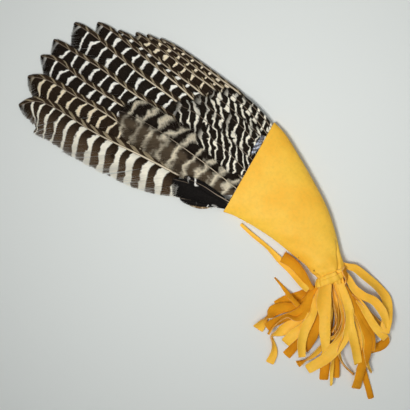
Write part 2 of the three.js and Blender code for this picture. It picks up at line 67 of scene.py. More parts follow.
class Route:
    """A smooth line in plan through layout points, read by its share of length."""

    def __init__(self, spots):
        ends = at(spots)
        p = np.vstack([2 * ends[0] - ends[1], ends, 2 * ends[-1] - ends[-2]])
        gap = np.sqrt(np.linalg.norm(np.diff(p, axis=0), axis=1))[:, None]
        leap = np.diff(p, axis=0) / gap
        bend = (p[2:] - p[:-2]) / (gap[:-1] + gap[1:])
        pull = leap[:-1] - bend + leap[1:]
        u = np.linspace(0, 1, ROUTE_STEPS, endpoint=False)[:, None]
        pieces = []
        for k in range(len(ends) - 1):
            start, stop = p[k + 1], p[k + 2]
            leave, reach = pull[k] * gap[k + 1], pull[k + 1] * gap[k + 1]
            cubic = 2 * start - 2 * stop + leave + reach
            square = -3 * start + 3 * stop - 2 * leave - reach
            pieces.append(start + leave * u + square * u**2 + cubic * u**3)
        self.line = np.vstack([*pieces, ends[-1:]])
        steps = np.linalg.norm(np.diff(self.line, axis=0), axis=1)
        self.run = np.concatenate([[0], np.cumsum(steps)])
        self.length = self.run[-1]

    def held(self, distance):
        """The point at a distance along the route, which stops at its ends."""
        return np.stack([np.interp(distance, self.run, self.line[:, k]) for k in (0, 1)], -1)

    def point(self, distance):
        """The point at a distance along the route, which goes on straight past its ends."""
        beyond = distance - np.clip(distance, 0, self.length)
        return self.held(distance) + self.heading(distance) * beyond[..., None]

    def heading(self, distance, reach=1.5 * MM):
        middle = np.clip(distance, reach, self.length - reach)
        way = self.held(middle + reach) - self.held(middle - reach)
        return way / np.linalg.norm(way, axis=-1, keepdims=True)

    def side(self, distance):
        """The direction across the route, towards the trailing edge of the wing."""
        way = self.heading(distance)
        return np.stack([way[..., 1], -way[..., 0]], -1)

    def gap_to(self, other, distance):
        """How far another route is from this one, at a distance along this one."""
        if other is None:
            return np.full_like(distance, FAR)
        away = self.point(distance)[..., None, :] - other.line
        return np.linalg.norm(away, axis=-1).min(-1)


# ---- Table, light and camera ----
# The fan lies on a plain pale board under broad soft light from the trailing side. The camera
# hangs straight over it, turned so that the sheet's squares run along the sides of its view.
VIEW = 410  # squares of the sheet across the camera's view
VIEW_CENTRE = (205, 205)
VIEW_HEIGHT = 8 * MM  # of the level that the view just takes in
LENS, SENSOR = 85.0, 36.0  # mm
TURN = math.radians(-135)


def show(name, data):
    made = bpy.data.objects.new(name, data)
    bpy.context.scene.collection.objects.link(made)
    return made


class Wire:
    """An output of a node. Sums written on it add Math nodes to its tree."""

    def __init__(self, tree, socket):
        self.tree, self.socket = tree, socket

    def node(self, kind, sockets=(), out=0, **settings):
        """Adds a node of any kind: its settings first, then its sockets' values or wires."""
        node = self.tree.nodes.new(kind)
        for name, value in settings.items():
            setattr(node, name, value)
        for key, value in dict(sockets).items():
            if isinstance(value, Wire):
                self.tree.links.new(value.socket, node.inputs[key])
            else:
                node.inputs[key].default_value = value
        return Wire(self.tree, node.outputs[out]) if node.outputs else node

    def out(self, name):
        """Another output of the same node."""
        return Wire(self.tree, self.socket.node.outputs[name])

    def maths(self, operation, *others):
        """A Math node on this wire and any others after it."""
        return self.node("ShaderNodeMath", enumerate((self, *others)), operation=operation)

    __add__ = __radd__ = partialmethod(maths, "ADD")
    __mul__ = __rmul__ = partialmethod(maths, "MULTIPLY")
    __sub__ = partialmethod(maths, "SUBTRACT")
    __truediv__ = partialmethod(maths, "DIVIDE")
    __pow__ = partialmethod(maths, "POWER")
    __abs__ = partialmethod(maths, "ABSOLUTE")

    def __rsub__(self, other):
        return self * -1.0 + other

    def step(self, low, high, to_low=0.0, to_high=1.0):
        """Goes smoothly from to_low to to_high as the wire goes from low to high."""
        sockets = {"Value": self, "From Min": low, "From Max": high, "To Min": to_low, "To Max": to_high}
        return self.node("ShaderNodeMapRange", sockets, interpolation_type="SMOOTHSTEP")

    def tint(self, colour, other):
        """Mixes two colours, by this wire."""
        return self.node("ShaderNodeMix", {0: self, 6: colour, 7: other}, out=2, data_type="RGBA")

    def noise(self, scale, detail=2.0, **others):
        """Noise over the places that this wire gives."""
        sockets = {"Vector": self, "Scale": scale, "Detail": detail, **others}
        return self.node("ShaderNodeTexNoise", sockets)


def srgb(red, green, blue):
    """A colour as a shader takes it, from the 0 to 255 values that a screen shows."""
    return tuple(
        v / 12.92 if v <= 0.04045 else ((v + 0.055) / 1.055) ** 2.4
        for v in (red / 255, green / 255, blue / 255)
    ) + (1.0,)


def toned(colour, share):
    """A colour made darker, or lighter past a share of 1."""
    return tuple(c * share for c in colour[:3]) + (1,)


def material(name, **constants):
    """A principled material, and the wire of its shader, on which its nodes are added."""
    made = bpy.data.materials.new(name)
    made.use_nodes = True
    tree = made.node_tree
    tree.nodes.clear()
    shader = Wire(tree, None).node("ShaderNodeBsdfPrincipled", constants)
    shader.node("ShaderNodeOutputMaterial", {"Surface": shader})
    return made, shader


def paint(shader, colour=None, roughness=None, bump=None, depth=0.0, strength=1.0):
    """Links what varies to the shader: its colour, its roughness and the height of its relief."""
    links, inputs = shader.tree.links, shader.socket.node.inputs
    if colour:
        links.new(colour.socket, inputs["Base Color"])
    if roughness:
        links.new(roughness.socket, inputs["Roughness"])
    if bump:
        sockets = {"Height": bump, "Strength": strength, "Distance": depth}
        links.new(shader.node("ShaderNodeBump", sockets).socket, inputs["Normal"])


BOARD_GREY = srgb(226, 229, 225)
BOARD_HALF = 1.6
board_paint, board_shader = material("Board_paint", Roughness=0.85, **{"Base Color": BOARD_GREY})
grain = board_shader.node("ShaderNodeTexCoord", out="Object")
paint(board_shader, bump=grain.noise(900.0), depth=0.1 * MM, strength=0.2)
board_mesh = bpy.data.meshes.new("Board")
corners = [(x * BOARD_HALF, y * BOARD_HALF, 0) for x, y in [(-1, -1), (1, -1), (1, 1), (-1, 1)]]
board_mesh.from_pydata(corners, [], [(0, 1, 2, 3)])
board_mesh.materials.append(board_paint)
show("Board", board_mesh)

camera = show("Camera", bpy.data.cameras.new("Camera"))
camera.data.lens, camera.data.sensor_width = LENS, SENSOR
over = at(VIEW_CENTRE)
camera.location = (*over, VIEW * SQUARE * LENS / SENSOR + VIEW_HEIGHT)
camera.rotation_euler = (0, 0, TURN)
bpy.context.scene.camera = camera


def softbox(name, place, aim, size, watts, spread=180):
    """A square soft light at one point of the sheet and height, turned to another."""
    lamp = show(name, bpy.data.lights.new(name, "AREA"))
    lamp.data.size, lamp.data.energy, lamp.data.spread = size, watts, math.radians(spread)
    lamp.location = (*at(place), place[2])
    away = lamp.location - type(lamp.location)((*at(aim), 0))
    lamp.rotation_euler = away.to_track_quat("Z", "Y").to_euler()


softbox("Window_light", (-130, 400, 1.5), (320, 100), 0.35, 1.2, spread=50)
softbox("Sky_light", (60, 300, 2.2), (240, 190), 1.6, 14.0)
SKY, SKY_STRENGTH = (0.92, 0.97, 1.0, 1), 0.18
world = bpy.data.worlds.new("Room")
world.use_nodes = True
sky = world.node_tree.nodes["Background"].inputs
sky["Color"].default_value, sky["Strength"].default_value = SKY, SKY_STRENGTH
bpy.context.scene.world = world
bpy.context.scene.view_settings.view_transform = "Standard"


# ---- Primary feathers ----
# Ten long flight feathers, each a stiff shaft with about 570 to 1,060 barbs, which lie close
# together in two vanes. Each barb is a thin closed blade that a node tree grows from its root.
# Each feather's narrow vane lies on top of the wide vane of the one before it.
BARB_PITCH = 0.5 * MM  # along the shaft
BARB_FROM = 1.2 * MM  # from the shaft's tip
BARB_WIDTH = 0.62 * MM
BARB_THICK = 0.11 * MM
BARB_CURLS = (0.1, 0.22)  # how far the barbs bend to the tip, on the narrow and the wide vane
LEAST_WIDTH = 0.8 * MM  # a vane narrower than this has no barbs
CLUMP = 7 * MM  # run of shaft whose barbs lean together
UNEVENNESS = 0.006
REACH_STEPS = 160  # in which the length of a barb is found
SHAFT = 1.6 * MM  # radius at the quill
SHAFT_SIDES, SHAFT_RINGS = 10, 70
LOWEST = 0.35 * MM  # the least height of a vane
TOUCH = 0.05 * MM  # the least height of a shaft or a strip
TIP_HEIGHT, ARCH_HEIGHT, MOUTH_HEIGHT = 3.2 * MM, 6 * MM, 7.2 * MM  # of the shafts
TIP_X, ARCH_X, MOUTH_X = 287 * MM, 187 * MM, 17 * MM
MOUTH = np.array([(269, 131), (229, 202)])
QUILL_ENDS = np.array([(283, 152), (258, 214)])
PRIMARIES = [  # seen part, trailing and leading width, how far from the tip the vane opens
    dict(seen=[(160, 38), (182, 51), (202, 65), (222, 80), (242, 96)], trail=9, tip=34, lead=3),
    dict(seen=[(147, 34), (166, 46), (190, 63), (212, 80), (232, 96)], trail=14, tip=34, lead=3),
    dict(seen=[(136, 32), (154, 45), (174, 59), (195, 75), (216, 91)], trail=22, tip=30, lead=4),
    dict(seen=[(118, 30), (132, 39), (146, 50), (162, 63), (182, 78), (203, 95)], trail=28, tip=28, lead=5),
    dict(seen=[(97, 22), (113, 32), (130, 46), (150, 62), (190, 96)], trail=33, tip=24, lead=6),
    dict(seen=[(74, 22), (92, 34), (112, 51), (140, 74), (182, 106)], trail=35, tip=24, lead=7),
    dict(seen=[(53, 39), (75, 53), (100, 68), (130, 91), (172, 119)], trail=35, tip=26, lead=7),
    dict(seen=[(40, 55), (58, 61), (78, 77), (100, 92), (140, 117)], trail=35, tip=28, lead=7),
    dict(seen=[(27, 76), (45, 79), (77, 97), (103, 112), (140, 137)], trail=36, tip=30, lead=8),
    dict(
        seen=[(18, 105), (36, 101), (55, 108), (92, 131), (150, 160), (190, 181)],
        trail=38, tip=34, lead=9,
    ),
]
luck = np.random.default_rng(7)


def barb_tree():
    """A node tree that grows one barb at each point, flat: X runs down the shaft, Y across it."""
    tree = bpy.data.node_groups.new("Barbs_of_a_vane", "GeometryNodeTree")
    for name, kind in [
        ("Roots", "Geometry"), ("Barb width", "Float"), ("Barb thickness", "Float"),
        ("Unevenness", "Float"), ("Seed", "Int"), ("Vane material", "Material"),
    ]:
        tree.interface.new_socket(name, in_out="INPUT", socket_type="NodeSocket" + kind)
    tree.interface.new_socket("Vane", in_out="OUTPUT", socket_type="NodeSocketGeometry")
    given = Wire(tree, None).node("NodeGroupInput")

    def geometry(kind, **sockets):
        return given.node("GeometryNode" + kind, sockets)

    def read(name):
        return given.node("GeometryNodeInputNamedAttribute", {"Name": name}, data_type="FLOAT")

    chance = given.node(
        "FunctionNodeRandomValue", {2: -1.0, 3: 1.0, 8: given.out("Seed")}, out=1, data_type="FLOAT"
    )
    rooted = given.node(
        "GeometryNodeStoreNamedAttribute",
        {"Geometry": given.out("Roots"), "Name": "chance", "Value": chance}, data_type="FLOAT",
    )
    line = geometry("CurvePrimitiveLine", End=(1, 0, 0))
    line = geometry("ResampleCurve", Curve=line, Count=6)
    blade = geometry("CurvePrimitiveCircle", Resolution=3, Radius=1.0)
    barb = geometry("CurveToMesh", **{"Curve": line, "Profile Curve": blade, "Fill Caps": True})
    barbs = geometry("InstanceOnPoints", Points=rooted, Instance=barb)
    barbs = geometry("RealizeInstances", Geometry=barbs)
    spot = given.node("ShaderNodeSeparateXYZ", {"Vector": given.node("GeometryNodeInputPosition")})
    out_along, section_a, section_b = spot.out("X"), spot.out("Y"), spot.out("Z")
    reach, rake = read("reach"), read("rake") + read("chance") * given.out("Unevenness")
    forward = reach * out_along * rake.maths("COSINE")
    forward = forward + reach * read("curl") * out_along**2
    across = reach * out_along * rake.maths("SINE")
    taper = 1.0 - 0.55 * out_along**3
    down_shaft = read("root") - forward + section_a * given.out("Barb width") * taper
    height = (section_b + section_a * 0.8) * given.out("Barb thickness") * taper
    flat = given.node(
        "ShaderNodeCombineXYZ",
        {"X": down_shaft, "Y": read("side") * (read("start") + across), "Z": height},
    )
    vane = geometry("SetPosition", Geometry=barbs, Position=flat)
    vane = geometry("SetMaterial", Geometry=vane, Material=given.out("Vane material"))
    given.node("NodeGroupOutput", {"Vane": vane})
    return tree


BARBS = barb_tree()


def grown(roots, inputs):
    """The mesh that the barb tree grows from a mesh of roots, for the tree's named inputs."""
    seedbed = show("Roots", roots)
    grower = seedbed.modifiers.new("Barbs", "NODES")
    grower.node_group = BARBS
    sockets = {s.name: s.identifier for s in BARBS.interface.items_tree if s.in_out == "INPUT"}
    for name, value in inputs.items():
        grower[sockets[name]] = value
    evaluated = seedbed.evaluated_get(bpy.context.evaluated_depsgraph_get())
    mesh = bpy.data.meshes.new_from_object(evaluated)
    bpy.data.objects.remove(seedbed)
    return mesh


def vane_roots(route, width, radius, side, rake, curl):
    """Where the barbs of one vane start, and how far each goes to reach the vane's outline."""
    root = np.arange(BARB_FROM, route.length, BARB_PITCH)
    root = root[width(root) > LEAST_WIDTH]
    angle = rake * mix(0.42, 1, ease(root / (26 * MM)))
    tuft = np.floor(root / CLUMP + 0.35 * np.sin(root / (11 * MM))).astype(int)
    angle = angle + luck.normal(0, 0.008, tuft.max() + 1)[tuft]
    longest = 1.15 * width(root).max() / math.sin(rake)
    steps = np.linspace(0, 1, REACH_STEPS)[:, None] * longest
    across = steps * np.sin(angle)
    reached = root - steps * np.cos(angle) - curl * steps**2 / steps.max()
    inside = across <= np.where(reached > 0, width(np.clip(reached, 0, None)), -1)
    inside[-1] = False
    reach = steps[np.argmin(inside, axis=0), 0]
    ragged = 1 + luck.normal(0, 0.012, len(root)) - 0.04 * luck.random(tuft.max() + 1)[tuft]
    mesh = bpy.data.meshes.new("roots")
    mesh.from_pydata(np.zeros((len(root), 3)), [], [])
    facts = {"root": root, "reach": reach * ragged, "rake": angle, "start": radius(root) * 0.7}
    facts |= {"side": np.full_like(root, side), "curl": curl * reach / steps.max()}
    for name, values in facts.items():
        stored = mesh.attributes.new(name, "FLOAT", "POINT")
        stored.data.foreach_set("value", values.astype(np.float32))
    return mesh


def circle(sides):
    return np.linspace(0, 2 * np.pi, sides, endpoint=False)


def coordinates(mesh):
    flat = np.empty(len(mesh.vertices) * 3, np.float32)
    mesh.vertices.foreach_get("co", flat)
    return flat.reshape(-1, 3).astype(float)


def loft(name, rings):
    """A closed skin through rings of equal numbers of points, as a mesh."""
    rings = np.asarray(rings)
    many, n = rings.shape[:2]
    vertices = list(map(tuple, rings.reshape(-1, 3)))
    faces = [
        (r * n + i, r * n + (i + 1) % n, (r + 1) * n + (i + 1) % n, (r + 1) * n + i)
        for r in range(many - 1)
        for i in range(n)
    ]
    vertices += [tuple(rings[0].mean(0)), tuple(rings[-1].mean(0))]
    for i in range(n):
        j, last = (i + 1) % n, (many - 1) * n
        faces += [(j, i, many * n), (last + i, last + j, many * n + 1)]
    mesh = bpy.data.meshes.new(name)
    mesh.from_pydata(vertices, [], faces)
    return mesh


def outward(mesh):
    """Turns a closed mesh's faces out, if they all point in."""
    spots = coordinates(mesh)
    mesh.calc_loop_triangles()
    corner = np.array([t.vertices[:] for t in mesh.loop_triangles])
    a, b, c = (spots[corner[:, k]] for k in range(3))
    if np.einsum("ij,ij->i", a, np.cross(b, c)).sum() < 0:
        mesh.flip_normals()
    return mesh


def joined(name, meshes):
    """One object from several meshes, which keep their materials and attributes."""
    parts = [show(name, mesh) for mesh in meshes]
    with bpy.context.temp_override(
        active_object=parts[0], selected_objects=parts, selected_editable_objects=parts
    ):
        bpy.ops.object.join()
    return parts[0]


def lay_out(mesh, places):
    """Stores each point's distance from its feather's tip and shaft, and a number by chance."""
    stored = mesh.attributes.new("vane", "FLOAT_VECTOR", "POINT")
    stored.data.foreach_set("vector", places.astype(np.float32).ravel())


def shaft_mesh(name, route, radius, height, skin):
    """The shaft: round below and flat on top, tapering to its tip."""
    turn = circle(SHAFT_SIDES)
    along = np.linspace(0.0005, 1, SHAFT_RINGS) ** 1.2 * route.length
    rings = []
    for s in along:
        here, side, r = route.point(s), route.side(s), radius(s)
        ring = here + np.outer(np.cos(turn) * r, side)
        top = np.where(np.sin(turn) > 0.9, 0.72, np.sin(turn))
        z = np.maximum(height(here, 0.0, s) + top * r, TOUCH)
        rings.append(np.column_stack([ring, z]))
    mesh = outward(loft(name, rings))
    places = np.zeros((len(mesh.vertices), 3))
    places[:-2, 0] = np.repeat(along, SHAFT_SIDES)
    places[:-2, 1] = np.tile(np.cos(turn), SHAFT_RINGS)
    lay_out(mesh, places)
    mesh.materials.append(skin)
    for face in mesh.polygons:
        face.use_smooth = True
    return mesh


def feather(name, route, height, radius, widths, rakes, skins, seed):
    """A whole feather in its place: both vanes grown flat, laid along the route, and the shaft."""
    meshes = [shaft_mesh(name + "_shaft", route, radius, height, skins[1])]
    inputs = {"Barb width": BARB_WIDTH, "Barb thickness": BARB_THICK, "Unevenness": UNEVENNESS}
    inputs |= {"Seed": seed, "Vane material": skins[0]}
    for side, width, rake, curl in zip((-1, 1), widths, rakes, BARB_CURLS):
        vane = grown(vane_roots(route, width, radius, side, rake, curl), inputs)
        flat = coordinates(vane)
        down, across, up = flat.T
        spot = route.point(down) + route.side(down) * across[:, None]
        z = np.maximum(height(spot, across, np.clip(down, 0, route.length)), LOWEST) + up
        chance = np.empty(len(down), np.float32)
        vane.attributes["chance"].data.foreach_get("value", chance)
        lay_out(vane, np.column_stack([down, across, chance]))
        vane.vertices.foreach_set("co", np.column_stack([spot, z]).astype(np.float32).ravel())
        meshes.append(vane)
    piece = joined(name, meshes)
    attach(piece, "root")
    return piece


def laid_out(shader):
    """What lay_out stored, as three wires."""
    stored = shader.node("ShaderNodeAttribute", out="Vector", attribute_name="vane")
    spot = shader.node("ShaderNodeSeparateXYZ", {"Vector": stored})
    return [spot.out(axis) for axis in "XYZ"]


def barred(
    name, pitch, white, ground, pale, margin=None, arch=6.5 * MM, back=0.3, wander=1.0, soft=0.045,
    notched=False, patchy=0.0, patch_from=0.4, widens=0.0, ragged=1.0, margin_run=(3, 30), grows=0.0,
    bold_lead=False,
):
    """Vane with pale bars on a dark ground. On the wide side they arch towards the tip. If
    notched, on the narrow side they are drawn out along the barbs, on a browner ground. If
    bold_lead, they lean the other way there, and patchy doesn't fade them. The pitch is the one
    at the tip, and grows by that share of itself for each metre towards the quill."""
    made, shader = material(name, **{"Roughness": 0.62, "Specular IOR Level": 0.09})
    down, across, chance = laid_out(shader)
    wide = across.step(-0.3 * MM, 0.3 * MM)
    out = abs(across)
    place = shader.node("ShaderNodeTexCoord").out("Object")
    sway, fine = place.noise(75.0), place.noise(500.0)
    short = 1.0 - (out / (16 * MM)).maths("MINIMUM", 1.0)
    arched = (1.0 - short**2) * arch - out * back
    lean = 2.0 if notched else -0.5 if bold_lead else 0.9
    bar = down + arched * wide + (1.0 - wide) * out * lean
    bar = bar + (sway - 0.5) * (13 * MM * wander) + (fine - 0.5) * (1.6 * MM * ragged)
    bar = bar + chance * (0.35 * MM * ragged)
    turns = bar / pitch
    if grows:
        turns = (1.0 + bar * grows).maths("LOGARITHM", math.e) / (pitch * grows)
    edge = abs(turns.maths("FRACT") - 0.5)
    fill = sway.step(0.32, 0.68, white * 0.3, white * 0.66)
    if notched:
        fill = fill + (1.0 - wide) * 0.02
    if bold_lead:
        fill = fill - (1.0 - wide) * 0.03
    if widens:
        fill = fill + down.step(60 * MM, 150 * MM, 0.0, widens)
    paleness = (fill - edge).step(-soft, soft) * down.step(1 * MM, 12 * MM)
    if patchy:
        shown = place.noise(38.0, 1.0).step(patch_from, patch_from + 0.1, 1 - patchy, 1.0)
        if bold_lead:
            shown = shown.maths("MAXIMUM", 1.0 - wide)
        paleness = paleness * shown
    dark = fine.step(0.35, 0.8).tint(ground, toned(ground, 2.0))
    if margin:
        brown = out.step(margin_run[0] * MM, margin_run[1] * MM) * wide * sway.step(0.2, 0.45)
        dark = brown.tint(dark, margin)
    light = (sway.step(0.3, 0.8) * 0.5).tint(pale, toned(pale, 0.78))
    if notched:
        paleness = paleness * (0.6 + wide * 0.4)
        dark = ((1.0 - wide) * 0.85).tint(dark, NOTCH_BROWN)
        light = ((1.0 - wide) * 0.9).tint(light, NOTCH_CREAM)
    paint(shader, colour=paleness.tint(dark, light))
    return made


DARK = srgb(26, 19, 12)
WARM_DARK = srgb(38, 27, 16)
RUSSET = srgb(36, 25, 15)
BARB_WHITE = srgb(255, 252, 242)
CREAM = srgb(246, 232, 202)
NOTCH_BROWN = srgb(60, 46, 32)
NOTCH_CREAM = srgb(196, 176, 136)

shaft_skin, shaft_shader = material("Feather_shaft", Roughness=0.42)
down, across, _ = laid_out(shaft_shader)
rim = abs(across).step(0.3, 0.95)
toward_quill = down.step(0.0, 0.16)
tip_tone = rim.tint(srgb(120, 100, 76), srgb(44, 32, 22))
quill_tone = rim.tint(srgb(212, 196, 164), srgb(74, 58, 40))
paint(shaft_shader, colour=toward_quill.tint(tip_tone, quill_tone))

primary_skins = {
    kind: barred(
        f"Primary_vane_{kind}", pitch * MM, white, ground, pale, margin, arch * MM, wander=wander,
        notched=True, widens=0.1 if kind == "last" else 0, grows=3.5 if kind == "last" else 0,
    )
    for kind, pitch, white, ground, pale, margin, arch, wander in [
        ("first", 13.2, 0.28, RUSSET, CREAM, None, 5, 0.9),
        ("middle", 14.2, 0.23, DARK, BARB_WHITE, None, 6.5, 0.85),
        ("inner", 14.2, 0.24, WARM_DARK, CREAM, None, 8, 0.6),
        ("last", 12, 0.27, WARM_DARK, srgb(255, 250, 233), srgb(98, 79, 59), 8, 0.6),
    ]
}


def shaft_radius(full, share):
    return full * mix(0.22, 1, np.minimum(1, share * 1.5))


def vane_width(length, full, tip_run, shut, bare, power=0.5):
    """A vane's width along the shaft: it opens from the tip and closes towards the quill."""

    def width(s):
        opened = (1 - (1 - np.clip(s / tip_run, 0, 1)) ** 2) ** power
        return full * opened * (1 - ease((s / length - shut) / (bare - shut)))

    return width


def primary_height(x):
    near = mix(ARCH_HEIGHT, TIP_HEIGHT, ease((x - ARCH_X) / (TIP_X - ARCH_X)))
    far = mix(MOUTH_HEIGHT, ARCH_HEIGHT, ease((x - MOUTH_X) / (ARCH_X - MOUTH_X)))
    return np.where(x > ARCH_X, near, far)


def primary_route(index):
    if not 0 <= index < len(PRIMARIES):
        return None
    share = index / (len(PRIMARIES) - 1)
    inside = [tuple(mix(*MOUTH, share)), tuple(mix(*QUILL_ENDS, share))]
    return Route(PRIMARIES[index]["seen"] + inside)


VANE = 0.5 * MM
CLEARANCE = 0.35 * MM
PRIMARY_RAKES = (math.radians(24), math.radians(42))


def primary(i, kind):
    """One flight feather: its wide vane goes down under the shaft of the next feather."""
    before, route, following = (primary_route(k) for k in (i - 1, i, i + 1))
    fine = np.linspace(0, route.length, 200)
    space_before, space_after = (route.gap_to(other, fine) for other in (before, following))

    def radius(s):
        return shaft_radius(SHAFT, s / route.length)

    def height(spot, across, s):
        under = 2 * radius(s) + VANE / 2 + CLEARANCE
        sink = across * under / np.maximum(np.interp(s, fine, space_after), 5 * MM)
        return primary_height(spot[..., 0]) - sink

    lead = vane_width(route.length, 0.6 * kind["lead"] * MM, 0.7 * kind["tip"] * MM, 0.55, 0.8)
    closes = 0.8 if following else 0.98
    point = 0.62 if i < 3 else 0.85 if i < 8 else 0.55
    trail = vane_width(route.length, kind["trail"] * MM, kind["tip"] * MM, 0.5, closes, point)

    def leading(s):
        return np.minimum(lead(s), 0.5 * np.interp(s, fine, space_before))

    def trailing(s):
        return np.minimum(trail(s), 1.5 * np.interp(s, fine, space_after))

    name = f"primary_{i + 1:02d}"
    skin = primary_skins["first" if i < 3 else "middle" if i < 8 else "inner" if i == 8 else "last"]
    widths, skins = (leading, trailing), (skin, shaft_skin)
    made = feather(name + "_feather", route, height, radius, widths, PRIMARY_RAKES, skins, i)
    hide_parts(name)


for i, kind in enumerate(PRIMARIES):
    primary(i, kind)


# ---- Greater coverts ----
# Six coverts lie over the roots of the primaries in a row from the leading edge. The last is the
# long one in the middle of the fan, with a soft brown wide vane and a black narrow one.
COVERT_SHAFT = 0.55 * MM
COVERT_RAKES = (math.radians(38), math.radians(44))
GREATER_TIP = 12 * MM
GREATER_COVERTS = [
    dict(seen=[(240, 95), (253, 107), (264, 119), (275, 133)], lead=3, trail=8, root=11.6),
    dict(seen=[(223, 89), (238, 101), (252, 115), (271, 140)], lead=6, trail=13, root=12.2),
    dict(seen=[(209, 91), (225, 104), (240, 117), (266, 149)], lead=8, trail=15, root=12.6),
    dict(seen=[(195, 96), (211, 109), (226, 122), (260, 159)], lead=9, trail=17, root=12.8),
    dict(seen=[(175, 104), (193, 112), (212, 127), (252, 172)], lead=11, trail=23, root=13),
    dict(
        seen=[(120, 111), (140, 120), (159, 131), (200, 160), (243, 194)],
        lead=22, trail=30, root=13.2,
    ),
]
COVERT_CREAM = srgb(255, 249, 230)
covert_skin = barred(
    "Covert_vane", 12 * MM, 0.31, DARK, COVERT_CREAM, arch=5 * MM, back=0.9, wander=1.6, soft=0.06,
    patchy=0.45, ragged=1.3,
)
brown_skin = barred(
    "Brown_covert_vane", 18.5 * MM, 0.33, DARK, srgb(236, 225, 198), srgb(84, 71, 55),
    arch=5 * MM, wander=1.9, soft=0.2, patchy=0.6, ragged=2.2, margin_run=(0.5, 8), bold_lead=True,
)


def covert(name, kind, tip_run, height, shaft, skin, seed, closes=(0.7, 1.15)):
    """A small feather: its vanes stay open until it is under the sleeve."""
    route = Route(kind["seen"])
    widths = [vane_width(route.length, kind[w] * MM, tip_run * MM, *closes) for w in ("lead", "trail")]
    made = feather(
        name + "_feather", route, lambda spot, across, s: height(across, s, route),
        lambda s: shaft_radius(shaft, s / route.length), widths, COVERT_RAKES, (skin, shaft_skin),
        seed,
    )
    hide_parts(name)


def greater_height(root, following):
    """How high a greater covert lies: it rises to its root and goes down under the next one."""

    def height(across, s, route):
        gap = np.full(np.shape(s), 30 * MM)
        if following:
            fine = np.linspace(0, route.length, 80)
            gap = np.interp(s, fine, np.maximum(route.gap_to(following, fine), 8 * MM))
        rise = ease(s / route.length * 1.4)
        return mix(GREATER_TIP, root, rise) - across * (2 * COVERT_SHAFT + VANE / 2 + CLEARANCE) / gap

    return height


def sloping_height(root, drop):
    """How high a short feather lies: it rises by drop to its root, and slopes across."""
    return lambda across, s, route: root - drop * (1 - s / route.length) - 0.06 * across


for i, kind in enumerate(GREATER_COVERTS):
    following = Route(GREATER_COVERTS[i + 1]["seen"]) if i + 1 < len(GREATER_COVERTS) else None
    last = following is None
    covert(
        f"greater_covert_{i + 1}", kind, 26, greater_height(kind["root"] * MM, following),
        COVERT_SHAFT, brown_skin if last else covert_skin, 20 + i,
    )

# ---- Median coverts ----
# The short top tier, close under the mouth of the sleeve, with narrow zig-zag bars.
MEDIAN_HEIGHT = 16.4 * MM
MEDIAN_COVERTS = [
    dict(seen=[(242, 119), (255, 131), (270, 148)], lead=4, trail=9),
    dict(seen=[(226, 114), (243, 129), (265, 153)], lead=7, trail=12),
    dict(seen=[(218, 130), (236, 145), (258, 166)], lead=9, trail=14),
    dict(seen=[(198, 129), (222, 147), (250, 176)], lead=12, trail=17),
]
zigzag_skin = barred(
    "Median_covert_vane", 10.5 * MM, 0.32, DARK, COVERT_CREAM, arch=4 * MM, back=1.1, wander=1.6,
    soft=0.06, patchy=0.35, ragged=1.3,
)
for i, kind in enumerate(MEDIAN_COVERTS):
    height = sloping_height(MEDIAN_HEIGHT + 0.5 * MM * i, 0.5 * MM)
    covert(f"median_covert_{i + 1}", kind, 16, height, 0.38 * MM, zigzag_skin, 30 + i)

# ---- Alula ----
# The thumb's three feathers at the trailing corner of the mouth: black, with a few white spots.
ALULA = [
    dict(seen=[(180, 198), (196, 201), (212, 203), (238, 211)], lead=5, trail=6, high=10.2, tip=12),
    dict(seen=[(173, 179), (194, 185), (212, 194), (239, 210)], lead=3, trail=19, high=13.2, tip=6),
    dict(seen=[(184, 177), (203, 186), (217, 195), (242, 209)], lead=4, trail=5, high=15, tip=14),
]
alula_skin = barred(
    "Alula_vane", 13 * MM, 0.2, srgb(20, 17, 15), BARB_WHITE, arch=1.2 * MM, back=0.2, wander=1.8,
    patchy=1.0, patch_from=0.54,
)
for i, kind in enumerate(ALULA):
    height = sloping_height(kind["high"] * MM, 0.6 * MM)
    covert(
        f"alula_{i + 1}", kind, kind["tip"], height, 0.7 * MM, alula_skin, 40 + i,
        closes=(0.3, 1.1),
    )


# ---- Down ----
# Loose downy barbs: a pale brown tuft under the alula, and bluish-white down at the mouth.
brown_down, white_down = (
    barred(name, pitch * MM, white, srgb(*ground), srgb(*pale), arch=0.5 * MM)
    for name, pitch, white, ground, pale in [
        ("Brown_down", 9, 0.3, (120, 96, 66), (206, 186, 150)),
        ("White_down", 5, 0.4, (96, 98, 106), (206, 212, 226)),
    ]
)
for name, seen, width, high, skin, slot in [
    ("Alula_down", [(184, 199), (191, 203), (200, 206), (212, 208)], 3.5, 7.5 * MM, brown_down, "alula"),
    ("Mouth_down", [(263, 136), (259, 143), (254, 151), (250, 158)], 3, 18 * MM, white_down, "coverts"),
]:
    route = Route(seen)
    widths = [vane_width(route.length, width * MM, 8 * MM, 0.5, 1.1)] * 2
    tuft = feather(
        name, route, lambda spot, across, s: high - 0.1 * abs(across),
        lambda s: 0.25 * MM + 0 * s, widths, (math.radians(38),) * 2, (skin, shaft_skin), 60,
    )

